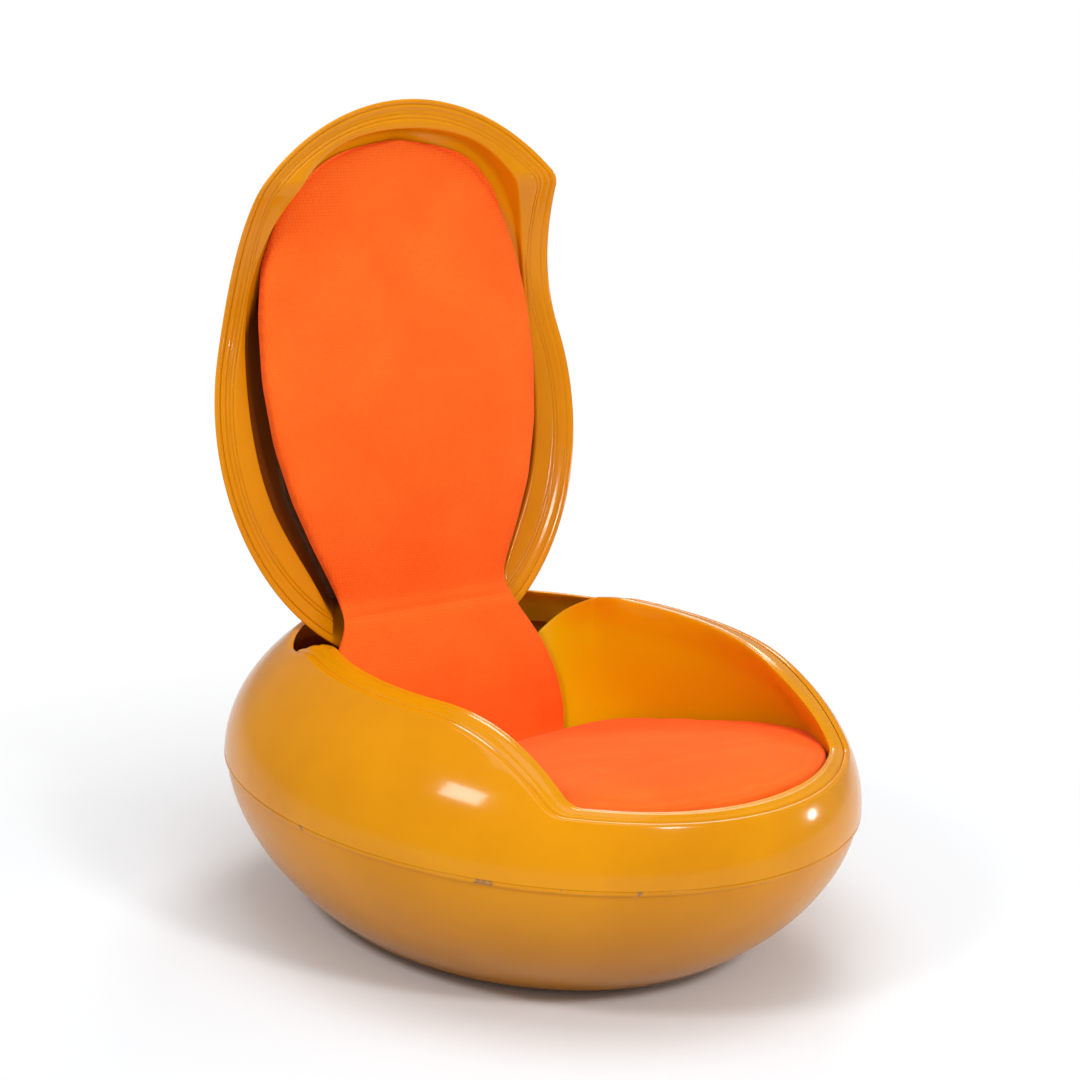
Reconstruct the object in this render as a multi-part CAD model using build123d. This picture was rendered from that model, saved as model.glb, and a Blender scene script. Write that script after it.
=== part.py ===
from build123d import *
import os
from math import atan, cos, degrees, radians, sin, sqrt, tan

# Pod chair: a lacquered shell base with a sunk upholstered seat, and a hooded lid that
# swings up on two hidden hinges and becomes the backrest.  Millimetres, +Z up, front = -Y,
# origin in the middle of the flat foot.  The part is drawn open, as it is sat in; the lid
# pieces are drawn closed and then swung back.

os.makedirs("parts", exist_ok=True)

# ---- driving dimensions: body --------------------------------------------------------
HALF_W = 380.0          # half width of the body at the seam
HALF_D = 423.0          # half depth of the body at the seam
SEAM_Z = 192.5          # height of the seam between the two shells
TOP_Z = 433.0           # height of the closed body
DOME_POWER = 1.94       # fullness of the upper half
BOWL_POWER = 1.79       # fullness of the lower half
BOWL_SINK = 72.0        # the lower half would end this far under the foot
FOOT_ROUND = 0.022      # the foot section is smaller by this share
FOOT_ROUND_Z = 7.0      # height of the rounded edge of the foot
SECTIONS = 9            # sections of one dome loft

# ---- driving dimensions: walls of the mouldings --------------------------------------
SHELL_WALL = 6.0        # wall of the upper base shell
BOWL_WALL = 7.0         # wall of the lower base shell
LIP_STEP = 3.0          # how far the seam lip stands out of the bowl
LIP_HEIGHT = 6.0        # height of the seam lip
GLUE_FLANGE = 13.0      # width of the bonding flange inside the seam
GLUE_THICK = 5.0
LID_WALL = 5.0          # wall of the lid skin
LINER_WALL = 4.0        # wall of the lid liner
TUB_WALL = 5.5          # wall of the seat tub
GAP = 0.15              # bond line between mouldings

# ---- driving dimensions: rim line in the side view -----------------------------------
RIM_TOP = 345.0         # rim height along the arms
RIM_ARC = 312.0         # radius of the arm where it falls to the front
RIM_ARC_Y = -95.6       # the arm starts to fall here
LIP_SLOPE = 0.06        # the front lip rises to the rear by this
LIP_MEET_Y = -296.0     # the lip meets the arm here
LIP_MEET_Z = 272.1
LIP_FILLET = 26.0       # radius of that inner corner
DIP = 13.0              # the rear rim of the base is this much lower
DIP_FROM = 125.0
DIP_TO = 205.0
TUB_STEP = -2.0         # the tub's outer step stands at this lift from the rim line
TUB_CREST = 1.0         # and its crest bead at this one
CREST_INSET = 10.0      # the crest starts this far in from the body's outside
LID_EDGE = -2.7         # lift of the lid skin's edge
LINER_EDGE = -0.7       # lift of the liner's outer band
LINER_BAND = 9.5        # inset where that band ends
LINER_LEDGE = 2.3       # lift of the liner's flat ledge
GROOVES = (13.5, 18.7)  # insets of the two fine grooves in the ledge
GROOVE_WIDTH = 2.0
GROOVE_DEPTH = 1.3

# ---- driving dimensions: seat, lumbar part, hinges, back -----------------------------
HINGE_Y = 249.5         # hinge axis
HINGE_Z = 335.8
OPEN_ANGLE = 103.9      # swing of the lid

SEAT_SLOPE = 0.1754     # fall of the tub floor to the rear
FLOOR_Z = 105.3         # height of the tub floor at y = 0
SEAT_BOARD = 9.0
LEAN = 21.0             # lean of the lumbar pad
LUMBAR_Y = 165.0        # lumbar face at the crease
LUMBAR_Z = 163.0
LUMBAR_PAD = 18.0
LUMBAR_BOARD = 6.0
SPINE_TOP = 244.0       # top of the tub wall behind the lumbar board
POCKET_FLOOR = 240.0    # floor of the pocket that the lid's heel swings into
POCKET_FRONT = 180.5    # cross wall between the seat and the pocket
POCKET_WALL = 5.5
BUFFER_R = 7.0
BUFFER_Z = 270.0        # the lid rests on two buffers at this height

RECESS = ((131, -344), (193, -284), (226, -190), (240, -50), (222, 98), (176, 222), (96, 308))
RECESS_FRONT = -371.0   # front of the lid recess; its side runs through the points above
TRAY_Z = 365.0          # underside of the tray in the closed lid
BACK_BOARD = 8.0
BACK_FACE = 328.0       # face of the back pad in the closed lid
BACK_CURL_Y = -190.0    # the face curls down from here to the front
BACK_CURL_R = 400.0
PAD_END = 233.5         # lower end of the back pad

PIN_R = 4.0
PIN_PRESS = 0.02        # the pin sits in the base knuckles
PIN_RUN = 0.05          # and turns in the lid knuckle
KNUCKLE_R = 6.5
KNUCKLE_GAP = 0.5
LEAF = 3.0
LEAF_LOW = 262.0        # lower end of the base leaf
ARM_FRONT = 10.0        # the lid leaf stands this far in front of the axis
HINGE_X0 = 88.0         # hinge from here to there, on each side
HINGE_X1 = 116.0
ROLL_R = 14.0           # upholstery rolls round the hinge line
ROLLS = ((-132.0, -118.5), (-80.0, 80.0), (118.5, 132.0))
SCREW_R = 2.0
HEAD_R = 4.0
HEAD_THICK = 2.0


# ---- body shape ----------------------------------------------------------------------
def dome(inset):
    """Upper half of the body, drawn in by inset on every side."""
    rise = TOP_Z - inset - SEAM_Z
    rings = []
    for i in range(SECTIONS + 1):
        t = radians(88.5 * i / SECTIONS)
        q = cos(t) ** (2 / DOME_POWER)
        z = SEAM_Z + rise * sin(t) ** (2 / DOME_POWER)
        rings.append(Pos(0, 0, z) * Ellipse((HALF_D - inset) * q, (HALF_W - inset) * q, rotation=90))
    return loft(rings)


def bowl_scale(z, depth):
    """Share of the seam's plan that the lower half keeps at height z."""
    return (1 - ((SEAM_Z - z) / depth) ** BOWL_POWER) ** (1 / BOWL_POWER)


def bowl(inset, foot):
    """Lower half of the body down to the height foot, drawn in by inset."""
    depth = SEAM_Z + BOWL_SINK - inset
    half_d = HALF_D - LIP_STEP - inset
    half_w = HALF_W - LIP_STEP - inset
    levels = [(foot, bowl_scale(foot, depth) - FOOT_ROUND)]
    levels.append((foot + FOOT_ROUND_Z, bowl_scale(foot + FOOT_ROUND_Z, depth)))
    for i in range(1, SECTIONS):
        z = foot + (SEAM_Z - foot) * i / (SECTIONS - 1)
        levels.append((z, bowl_scale(z, depth)))
    return loft([Pos(0, 0, z) * Ellipse(half_d * q, half_w * q, rotation=90) for z, q in levels])


def ring(inset_out, inset_in, z0, z1):
    """Flat elliptic ring between two insets of the seam ellipse."""
    outer = Ellipse(HALF_D - inset_out, HALF_W - inset_out, rotation=90)
    inner = Ellipse(HALF_D - inset_in, HALF_W - inset_in, rotation=90)
    return Pos(0, 0, z0) * extrude(outer - inner, amount=z1 - z0)


def lip_and_arm():
    """Rim line from the front: sloping lip, fillet, then the arm's arc up to its level top."""
    slope = LIP_SLOPE
    k = sqrt(1 + slope * slope)
    arc_z = RIM_TOP - RIM_ARC
    # the fillet's centre (u, v) is LIP_FILLET above the lip line and outside the arm's arc
    m = LIP_MEET_Z - slope * LIP_MEET_Y + LIP_FILLET * k - arc_z
    p = slope * m - RIM_ARC_Y
    c = RIM_ARC_Y ** 2 + m * m - (RIM_ARC + LIP_FILLET) ** 2
    u = (-p - sqrt(p * p - k * k * c)) / (k * k)
    v = slope * u + m + arc_z
    a = (u + LIP_FILLET * slope / k, v - LIP_FILLET / k)
    f = RIM_ARC / (RIM_ARC + LIP_FILLET)
    b = (RIM_ARC_Y + (u - RIM_ARC_Y) * f, arc_z + (v - arc_z) * f)
    mx = a[0] + b[0] - 2 * u
    mz = a[1] + b[1] - 2 * v
    r = LIP_FILLET / sqrt(mx * mx + mz * mz)
    front = (-600.0, LIP_MEET_Z + slope * (-600.0 - LIP_MEET_Y))
    half = radians(22.0)
    mid = (RIM_ARC_Y - RIM_ARC * sin(half), arc_z + RIM_ARC * cos(half))
    edges = Line(front, a) + ThreePointArc(a, (u + mx * r, v + mz * r), b)
    return front, edges + ThreePointArc(b, mid, (RIM_ARC_Y, RIM_TOP))


def rear_dip():
    """Rim line where the base drops behind the arms: two equal arcs, one into the other."""
    span = (DIP_TO - DIP_FROM) / 2
    drop = DIP / 2
    r = (span * span + drop * drop) / (2 * drop)
    w = atan(span / (r - drop)) / 2
    start = (DIP_FROM, RIM_TOP)
    middle = (DIP_FROM + span, RIM_TOP - drop)
    end = (DIP_TO, RIM_TOP - DIP)
    edges = ThreePointArc(start, (DIP_FROM + r * sin(w), RIM_TOP - r + r * cos(w)), middle)
    return edges + ThreePointArc(middle, (DIP_TO - r * sin(w), RIM_TOP - DIP + r - r * cos(w)), end)


def rim_side(dipped, above):
    """Everything above or below the rim line, which is drawn in the side view."""
    front, edges = lip_and_arm()
    if dipped:
        rear = (600.0, RIM_TOP - DIP)
        edges = edges + Line((RIM_ARC_Y, RIM_TOP), (DIP_FROM, RIM_TOP)) + rear_dip()
        edges = edges + Line((DIP_TO, RIM_TOP - DIP), rear)
    else:
        rear = (600.0, RIM_TOP)
        edges = edges + Line((RIM_ARC_Y, RIM_TOP), rear)
    far = 900.0 if above else -200.0
    edges = edges + Polyline(rear, (600.0, far), (-600.0, far), front)
    return extrude(Plane.YZ * make_face(edges), amount=500, both=True)


def slab(z0, z1, slope=0.0, y0=-600.0, y1=600.0):
    """Wide plate between two heights at y = 0, falling to the rear by slope."""
    pts = [(y0, z0 - slope * y0), (y1, z0 - slope * y1), (y1, z1 - slope * y1), (y0, z1 - slope * y0)]
    return extrude(Plane.YZ * make_face(Polyline(*pts, close=True)), amount=600, both=True)


def plan(front, p1, m1, p2, m2, p3, m3, p4, grow=0.0, scale_by=1.0, centre_y=0.0):
    """Symmetric seat outline: arcs for front, corners, sides and rear corners, a straight rear."""
    def at(x, y, dx, dy):
        px = (x + dx * grow) * scale_by
        py = (y + dy * grow - centre_y) * scale_by + centre_y
        return (px, py)

    def other(q):
        return (-q[0], q[1])
    f = at(0, front, 0, -1)
    a = at(p1[0], p1[1], 0.35, -0.94)
    b = at(m1[0], m1[1], 0.75, -0.66)
    c = at(p2[0], p2[1], 0.98, -0.2)
    d = at(m2[0], m2[1], 1, 0)
    e = at(p3[0], p3[1], 0.97, 0.24)
    g = at(m3[0], m3[1], 0.75, 0.66)
    h = at(p4[0], p4[1], 0.2, 1)
    edges = ThreePointArc(other(a), f, a) + ThreePointArc(a, b, c) + ThreePointArc(c, d, e)
    edges = edges + ThreePointArc(e, g, h) + Line(h, other(h))
    edges = edges + ThreePointArc(other(h), other(g), other(e))
    edges = edges + ThreePointArc(other(e), other(d), other(c))
    edges = edges + ThreePointArc(other(c), other(b), other(a))
    return make_face(edges)


def lumbar_y(z, back=0.0):
    """Depth of the lumbar face at height z, or of a plane that far behind it."""
    return LUMBAR_Y + (z - LUMBAR_Z) * tan(radians(LEAN)) + back / cos(radians(LEAN))


def lean_plane(z, back=0.0):
    """Plane across the lumbar pad: local x is world x, local y runs from face to back."""
    a = radians(LEAN)
    return Plane(origin=(0, lumbar_y(z, back), z), x_dir=(1, 0, 0), z_dir=(0, sin(a), cos(a)))


def lean_slab(front, back, z0, z1):
    """Wide plate that lies between two distances behind the lumbar face."""
    pts = [(lumbar_y(z0, front), z0), (lumbar_y(z1, front), z1)]
    pts = pts + [(lumbar_y(z1, back), z1), (lumbar_y(z0, back), z0)]
    return extrude(Plane.YZ * make_face(Polyline(*pts, close=True)), amount=300, both=True)


def tube(x0, x1, r):
    """Cylinder on the hinge axis."""
    return Pos((x0 + x1) / 2, HINGE_Y, HINGE_Z) * Rot(0, 90, 0) * Cylinder(r, abs(x1 - x0))


def peg(place, x, along, r, length):
    """Round bar square to the leaning boards, its middle this far behind the plane."""
    return place * Pos(x, along, 0) * Rot(90, 0, 0) * Cylinder(r, length)


def write(shape, node):
    """One STEP file for each node."""
    shape.label = node
    export_step(shape, "parts/" + node + ".step")


# ---- base shells ---------------------------------------------------------------------
below = rim_side(dipped=True, above=False)
upper = (dome(0) - dome(SHELL_WALL)) & (Pos(0, 0, -4.0) * below)
upper = upper + ring(SHELL_WALL, SHELL_WALL + GLUE_FLANGE, SEAM_Z, SEAM_Z + GLUE_THICK)
write(upper, "base_upper_shell")

bottom = bowl(0, 0.0) - bowl(BOWL_WALL, 8.0)
bottom = bottom + ring(0, LIP_STEP + BOWL_WALL, SEAM_Z - LIP_HEIGHT, SEAM_Z)
bottom = bottom + ring(LIP_STEP + BOWL_WALL - 2.0, SHELL_WALL + GLUE_FLANGE, SEAM_Z - GLUE_THICK, SEAM_Z)
write(bottom, "base_bottom_shell")

# ---- seat tub ------------------------------------------------------------------------
# levels of the seat cavity: height, front, then the corner, side and rear corner points
LEVELS = [
    (60.0, -352, (115, -336), (188, -292), (238, -212), (246, -60), (226, 78), (200, 128), (150, 150)),
    (160.0, -366, (128, -346), (205, -300), (272, -200), (279, -60), (252, 90), (224, 150), (166, 192)),
    (262.0, -371, (132, -350), (210, -300), (276, -200), (273, -60), (250, 95), (222, 168), (166, 232)),
    (330.0, -345, (130, -322), (196, -270), (256, -160), (268, -30), (252, 105), (224, 185), (160, 257)),
    (380.0, -310, (125, -285), (186, -235), (240, -130), (262, -10), (250, 110), (222, 200), (150, 275)),
]


def cavity(grow):
    """Space of the seat, or the same space grown by the tub wall."""
    return loft([Pos(0, 0, level[0]) * plan(*level[1:], grow=grow) for level in LEVELS])


def rim_band(low, high):
    """Layer along the base rim between two lifts."""
    return (Pos(0, 0, high) * below) - (Pos(0, 0, low) * below)


hollow = cavity(0.0) & slab(FLOOR_Z, 900.0, SEAT_SLOPE)
grown = cavity(TUB_WALL) & slab(FLOOR_Z - 6.0, 900.0, SEAT_SLOPE)
inside = dome(SHELL_WALL + GAP)
under_step = Pos(0, 0, TUB_STEP) * below

# the tub wall, cut back inside the upper shell above the seam
tub = grown - Pos(0, 0, SEAM_Z + 300) * Box(1000, 1000, 600)
tub = tub + (grown & inside & under_step)
# flange on the rim: a step, then the crest bead, over the front and the arms only
pocket_back = POCKET_FRONT + POCKET_WALL
front_part = slab(-600.0, 900.0, 0.0, -600.0, pocket_back)
tub = tub + (inside & rim_band(TUB_STEP - 5.0, TUB_STEP) & front_part)
tub = tub + (dome(CREST_INSET) & rim_band(TUB_CREST - 5.0, TUB_CREST) & front_part)
# wall behind the arms and floor of the pocket for the heel of the lid
tub = tub + (inside & slab(POCKET_FLOOR, 900.0, 0.0, POCKET_FRONT, pocket_back) & under_step)
tub = tub + (inside & slab(POCKET_FLOOR, POCKET_FLOOR + 5.0, 0.0, POCKET_FRONT, 600.0))
tub = tub - hollow
# the rear wall is cut down behind the lumbar board; beside it the edge slants up into the rim
sides = Polyline((160, SPINE_TOP), (168, 270), (186, 291), (226, 341), (226, 500), (160, 500), close=True)
notch = Pos(0, 187, 0) * extrude(Plane.XZ * make_face(sides), amount=-200)
tub = tub - notch - mirror(notch, Plane.YZ) - Pos(0, 300, SPINE_TOP + 200) * Box(322, 250, 400)

# ---- seat board and cushion ----------------------------------------------------------
seat_plan = plan(*LEVELS[0][1:], grow=4.0)
board = extrude(seat_plan, amount=400) & slab(FLOOR_Z, FLOOR_Z + SEAT_BOARD, SEAT_SLOPE)
tilt = atan(SEAT_SLOPE)
seat_screws = []
for x in (-150, 150):
    for y in (-240, 60):
        place = Pos(x, y, FLOOR_Z + SEAT_BOARD - SEAT_SLOPE * y) * Rot(-degrees(tilt), 0, 0)
        seat_screws.append(place * Pos(0, 0, -6.5) * Cylinder(2.2, 13.0))
for s in seat_screws:
    board = board - s
    tub = tub - s
write(board, "seat_board")
write(Compound(children=seat_screws), "seat_board_screws")

# the cushion's sections stand square to the tub floor: distance from it, share of the plan
CUSHION = [(9.0, 0.93), (30.0, 0.965), (62.0, 0.99), (80.0, 0.982), (91.0, 0.955),
           (98.0, 0.89), (101.0, 0.79)]
CUSHION_PLAN = (-362, (128, -344), (203, -299), (272, -200), (274, -60), (249, 90), (222, 138), (180, 168))
rings = []
for k, share in CUSHION:
    origin = (0, k * sin(tilt), FLOOR_Z + k * cos(tilt))
    level = Plane(origin=origin, x_dir=(1, 0, 0), z_dir=(0, sin(tilt), cos(tilt)))
    rings.append(level * plan(*CUSHION_PLAN, scale_by=share, centre_y=-90.0))
write(loft(rings), "seat_cushion")

# ---- lumbar board and pad ------------------------------------------------------------
BOARD_VIEW = [(158, 168), (152, 280), (122, 322), (84, 322), (82, 280)]
# lumbar pad sections: height, half width, thickness of the sides, crown of the face
LUMBAR = [(168, 181, 12.0, 2.0), (176, 185, 14.0, 4.0), (200, 186, 14.0, 4.0), (235, 182, 14.0, 4.0),
          (272, 176, 14.0, 4.0), (300, 165, 13.5, 3.5), (314, 150, 11.0, 2.5), (319, 136, 8.0, 1.0)]
LUMBAR_TUCK = 5.0       # the pad's sides draw in by this at the board
NECK_Z = 302.0          # the neck of each roll starts at this height


def lumbar_section(z, w, t, crown):
    """Pad section: flat back, drawn-in sides and a crowned face."""
    a = (w - LUMBAR_TUCK, 0.0)
    b = (w - LUMBAR_TUCK * 0.2, -t)
    edges = Line((-a[0], 0.0), a) + ThreePointArc(a, (w, -t * 0.5), b)
    edges = edges + ThreePointArc(b, (0.0, -t - crown), (-b[0], -t))
    edges = edges + ThreePointArc((-b[0], -t), (-w, -t * 0.5), (-a[0], 0.0))
    return lean_plane(z, LUMBAR_PAD) * make_face(edges)


front_view = Polyline(*BOARD_VIEW, *[(-x, z) for x, z in reversed(BOARD_VIEW)], close=True)
lumbar_back = LUMBAR_PAD + LUMBAR_BOARD
lumbar_board = extrude(Plane.XZ * make_face(front_view), amount=-500)
lumbar_board = lumbar_board & lean_slab(LUMBAR_PAD, lumbar_back, 100.0, 420.0)
lumbar_screws = []
for x in (-125, -45, 45, 125):
    lumbar_screws.append(peg(lean_plane(212.0, LUMBAR_PAD), x, 5.0, SCREW_R, 10.0))

lumbar_pad = loft([lumbar_section(*row) for row in LUMBAR])
neck = Polyline((lumbar_y(NECK_Z, 1.5), NECK_Z), (lumbar_y(NECK_Z, 15.0), NECK_Z),
                (HINGE_Y + 9.0, HINGE_Z - 10.0), (HINGE_Y, HINGE_Z),
                (HINGE_Y - ROLL_R, HINGE_Z - 0.5), close=True)
for x0, x1 in ROLLS:
    lumbar_pad = lumbar_pad + Pos(x0, 0, 0) * extrude(Plane.YZ * make_face(neck), amount=x1 - x0)
    lumbar_pad = lumbar_pad + tube(x0, x1, ROLL_R)
lumbar_pad = lumbar_pad - lumbar_board

# ---- hinges --------------------------------------------------------------------------
KNUCKLE = 8.5           # length of each outer knuckle
shelf = TRAY_Z - BACK_BOARD         # underside of the back board, which carries the lid leaves
arm_y = HINGE_Y - ARM_FRONT
base_screws = []
lid_screws = []
lid_leaves = {}


def across(side, a, b, depth, height):
    """Box between two distances from the middle, on one side."""
    return Pos(side * (a + b) / 2, 0, 0) * Box(b - a, depth, height)


def base_leaf(side):
    """Leaf on the lumbar board with the two outer knuckles."""
    leaf = lean_slab(LUMBAR_PAD - LEAF, LUMBAR_PAD, LEAF_LOW, 340.0)
    leaf = leaf & Pos(0, 250, 300) * across(side, HINGE_X0, HINGE_X1, 200, 76)
    room = across(side, HINGE_X0 + KNUCKLE, HINGE_X1 - KNUCKLE, 40, 2 * KNUCKLE_R + 2.0)
    leaf = leaf - Pos(0, HINGE_Y, HINGE_Z) * room
    for a in (HINGE_X0, HINGE_X1 - KNUCKLE):
        leaf = leaf + tube(side * a, side * (a + KNUCKLE), KNUCKLE_R)
    return leaf - tube(side * (HINGE_X0 - 5), side * (HINGE_X1 + 5), PIN_R + PIN_PRESS)


def lid_leaf(side):
    """Angled leaf in the closed lid: foot on the back board, arm down to the middle knuckle."""
    mid0 = HINGE_X0 + KNUCKLE + KNUCKLE_GAP
    mid1 = HINGE_X1 - KNUCKLE - KNUCKLE_GAP
    arm = Pos(0, arm_y, (HINGE_Z + shelf) / 2) * across(side, HINGE_X0, HINGE_X1, LEAF, shelf - HINGE_Z)
    web = Pos(0, HINGE_Y - 5.0, HINGE_Z + LEAF / 2) * across(side, mid0, mid1, 13.0, LEAF)
    foot = Pos(0, arm_y + LEAF / 2 - 24.0, shelf - LEAF / 2) * across(side, HINGE_X0, HINGE_X1, 48.0, LEAF)
    leaf = arm + web + foot + tube(side * mid0, side * mid1, KNUCKLE_R)
    return leaf - tube(side * (HINGE_X0 - 5), side * (HINGE_X1 + 5), PIN_R + PIN_RUN)


for side, name in ((-1, "left"), (1, "right")):
    plate = base_leaf(side)
    hung = lid_leaf(side)
    middle = side * (HINGE_X0 + HINGE_X1) / 2
    pair = []
    for z in (276.0, 302.0):
        place = lean_plane(z, LUMBAR_PAD - LEAF)
        head = peg(place, middle, -HEAD_THICK / 2, HEAD_R, HEAD_THICK)
        pair.append(peg(place, middle, 4.0, SCREW_R, 8.0) + head)
    for s in pair:
        plate = plate - s
        lumbar_board = lumbar_board - s
    base_screws = base_screws + pair
    pair = []
    for y in (200.0, 216.0):
        shank = Pos(middle, y, shelf + 2.0) * Cylinder(SCREW_R, 10.0)
        pair.append(shank + Pos(middle, y, shelf - LEAF - HEAD_THICK / 2) * Cylinder(HEAD_R, HEAD_THICK))
    for s in pair:
        hung = hung - s
    lid_screws = lid_screws + pair
    lid_leaves[name] = hung
    # hollow in the back of the lumbar pad over the leaf and the screw heads
    hollow_back = lean_slab(LUMBAR_PAD - LEAF - 2.6, LUMBAR_PAD + 8.0, LEAF_LOW - 2.0, 360.0)
    hollow_back = hollow_back & Pos(0, 250, 300) * across(side, HINGE_X0 - 2.0, HINGE_X1 + 2.0, 200, 84)
    lumbar_pad = lumbar_pad - hollow_back
    write(plate, "hinge_base_leaf_" + name)
    write(tube(side * (HINGE_X0 - 2.5), side * (HINGE_X1 + 2.5), PIN_R), "hinge_pin_" + name)

for s in lumbar_screws:
    lumbar_board = lumbar_board - s
    tub = tub - s
buffers = []
for x in (-60, 60):
    buffers.append(peg(lean_plane(BUFFER_Z, lumbar_back), x, 3.4, BUFFER_R, 6.8))
write(tub, "seat_tub")
write(lumbar_board, "lumbar_board")
write(lumbar_pad, "lumbar_pad")
write(Compound(children=base_screws), "hinge_base_screws")
write(Compound(children=lumbar_screws), "lumbar_board_screws")
write(Compound(children=buffers), "lid_rest_buffers")


# ---- lid, drawn closed and then swung open -------------------------------------------
def opened(shape):
    """Swing a closed lid piece back about the hinge axis."""
    return Pos(0, HINGE_Y, HINGE_Z) * Rot(-OPEN_ANGLE, 0, 0) * Pos(0, -HINGE_Y, -HINGE_Z) * shape


above = rim_side(dipped=False, above=True)
under = rim_side(dipped=False, above=False)
skin = (dome(0) - dome(LID_WALL)) & (Pos(0, 0, LID_EDGE) * above)

# directions in which the recess outline grows, one for each of its points
OUTWARD = ((0.4, -0.9), (0.75, -0.66), (0.95, -0.3), (1, 0), (0.97, 0.24), (0.85, 0.5), (1, 0))


def recess(grow):
    """Plan of the lid recess, which runs out over the heel of the lid between the hinges."""
    right = [(p[0] + grow * d[0], p[1] + grow * d[1]) for p, d in zip(RECESS, OUTWARD)]
    left = [(-x, y) for x, y in right]
    tail = 420.0
    edges = ThreePointArc(left[0], (0.0, RECESS_FRONT - grow), right[0])
    for i in (0, 2, 4):
        edges = edges + ThreePointArc(right[i], right[i + 1], right[i + 2])
    edges = edges + Polyline(right[6], (right[6][0], tail), (left[6][0], tail), left[6])
    for i in (6, 4, 2):
        edges = edges + ThreePointArc(left[i], left[i - 1], left[i - 2])
    return extrude(make_face(edges), amount=TRAY_Z + grow)


within = dome(LID_WALL + GAP)
ledge_back = Pos(0, 0, LINER_LEDGE + LINER_WALL) * above
space = recess(0.0) & dome(LID_WALL + LINER_WALL + 2.0)
liner = recess(LINER_WALL) & within & (Pos(0, 0, LINER_LEDGE) * above)
liner = liner + (within & (Pos(0, 0, LINER_LEDGE) * above) - ledge_back)
liner = liner + ((within - dome(LINER_BAND)) & (Pos(0, 0, LINER_EDGE) * above) - ledge_back)
for inset in GROOVES:
    groove = (dome(inset) - dome(inset + GROOVE_WIDTH)) & (Pos(0, 0, LINER_LEDGE + GROOVE_DEPTH) * under)
    liner = liner - groove
liner = liner - space

# ---- back board and pad --------------------------------------------------------------
# pad sections: distance from the middle of the body, half width, roundness
BACK = [(-352.0, 40, 4.0), (-347.0, 66, 7.0), (-336.0, 93, 9.0), (-315.0, 125, 10.0), (-285.0, 158, 11.0),
        (-235.0, 191, 12.0), (-160.0, 212, 12.0), (-60.0, 218, 12.0), (20.0, 211, 12.0), (100.0, 192, 12.0),
        (170.0, 165, 12.0), (205.0, 150, 12.0), (224.0, 143, 9.0), (PAD_END, 134, 4.0)]
BACK_TUCK = 6.0         # the pad's sides draw in by this at the board
BACK_EDGE = 3.0         # and by this at the face
BOARD_SIDE = [(130, 222), (186, 90), (196, -60), (182, -140), (120, -204)]


def face_z(y):
    """Height of the pad face in the closed lid: flat, then curled down to the front."""
    bend = max(0.0, BACK_CURL_Y - y)
    return BACK_FACE - (BACK_CURL_R - sqrt(BACK_CURL_R ** 2 - bend * bend))


def back_section(y, w, r):
    """Cross section of the back pad in the closed lid."""
    low = face_z(y) + (12.0 - r) * 0.8
    a = (w - BACK_TUCK, shelf)
    b = (w, (low + shelf) / 2 + 3.0)
    c = (w - BACK_EDGE, low + 8.0)
    edges = Line((-a[0], a[1]), a) + ThreePointArc(a, b, c)
    edges = edges + ThreePointArc(c, (0.0, low), (-c[0], c[1]))
    edges = edges + ThreePointArc((-c[0], c[1]), (-b[0], b[1]), (-a[0], a[1]))
    return Plane(origin=(0, y, 0), x_dir=(1, 0, 0), z_dir=(0, -1, 0)) * make_face(edges)


back_pad = loft([back_section(*row) for row in BACK]) & dome(LID_WALL + LINER_WALL + 2.3)
board_view = Polyline(*BOARD_SIDE, *[(-x, y) for x, y in reversed(BOARD_SIDE)], close=True)
back_board = Pos(0, 0, shelf) * extrude(make_face(board_view), amount=BACK_BOARD)
back_screws = []
for x, y in ((110, 150), (150, -20), (110, -170)):
    for side in (-1, 1):
        back_screws.append(Pos(side * x, y, TRAY_Z - 2.0) * Cylinder(SCREW_R, 12.0))
for s in back_screws:
    back_board = back_board - s
    liner = liner - s
for s in lid_screws:
    back_board = back_board - s
    back_pad = back_pad - s
# hollow in the pad over the feet of the lid leaves
for side in (-1, 1):
    back_pad = back_pad - Pos(0, 220, shelf - 4.0) * across(side, HINGE_X0 - 1.0, HINGE_X1 + 1.0, 64, 8.2)

write(opened(skin), "lid_shell")
write(opened(liner), "lid_liner")
write(opened(back_board), "back_board")
write(opened(back_pad), "back_pad")
for name, leaf in lid_leaves.items():
    write(opened(leaf), "hinge_lid_leaf_" + name)
write(opened(Compound(children=lid_screws)), "hinge_lid_screws")
write(opened(Compound(children=back_screws)), "back_board_screws")
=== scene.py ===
import math

import bmesh
import bpy
import numpy as np
from mathutils import Matrix, Vector


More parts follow.
